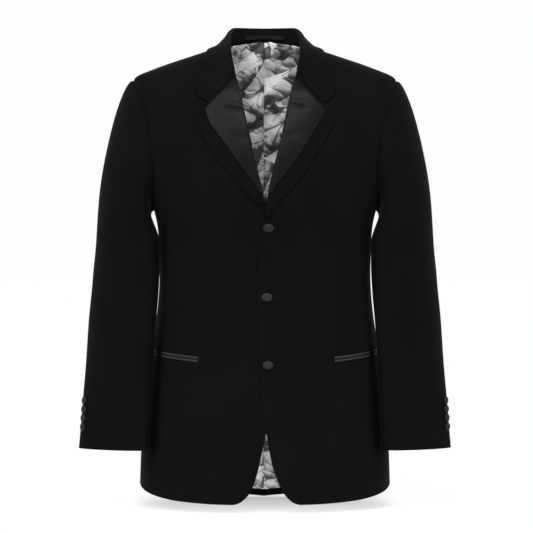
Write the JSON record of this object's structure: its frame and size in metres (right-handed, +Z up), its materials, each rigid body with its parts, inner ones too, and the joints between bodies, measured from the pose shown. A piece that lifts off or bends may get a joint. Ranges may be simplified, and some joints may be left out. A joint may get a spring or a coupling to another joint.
{
  "type": "tuxedo jacket",
  "caption": "Single-breasted tuxedo jacket filled out as worn, hollow, with satin-faced notch lapels, jetted hip pockets, a breast welt and covered buttons.",
  "frame": {"origin": "midway between the two side neck points, where the wearer's shoulders hold the jacket", "axes": "+Z up along the body, +X to the wearer's left, the front faces -Y"},
  "size_m": [0.6362, 0.2675, 0.8257],
  "materials": {
    "wool": "matte fine worsted",
    "satin": "satin",
    "lining": "silky",
    "button": "satin over a button shell"
  },
  "bodies": {
    "root": {"front_left": "wool", "front_right": "wool", "side_left": "wool", "side_right": "wool", "back_left": "wool", "back_right": "wool", "sleeve_upper_left": "wool", "sleeve_upper_right": "wool", "sleeve_under_left": "wool", "sleeve_under_right": "wool", "lapel_left": "wool", "lapel_right": "wool", "collar_fall": "wool", "collar_stand": "wool", "pocket_welt": "wool", "satin_left": "satin", "satin_right": "satin", "hanger_loop": "satin", "jet_upper_left": "satin", "jet_lower_left": "satin", "jet_upper_right": "satin", "jet_lower_right": "satin", "lining_left": "lining", "lining_right": "lining", "front_button_1": "button", "front_button_2": "button", "front_button_3": "button", "cuff_button_left_1": "button", "cuff_button_left_2": "button", "cuff_button_left_3": "button", "cuff_button_left_4": "button", "cuff_button_right_1": "button", "cuff_button_right_2": "button", "cuff_button_right_3": "button", "cuff_button_right_4": "button"}
  },
  "joints": []
}
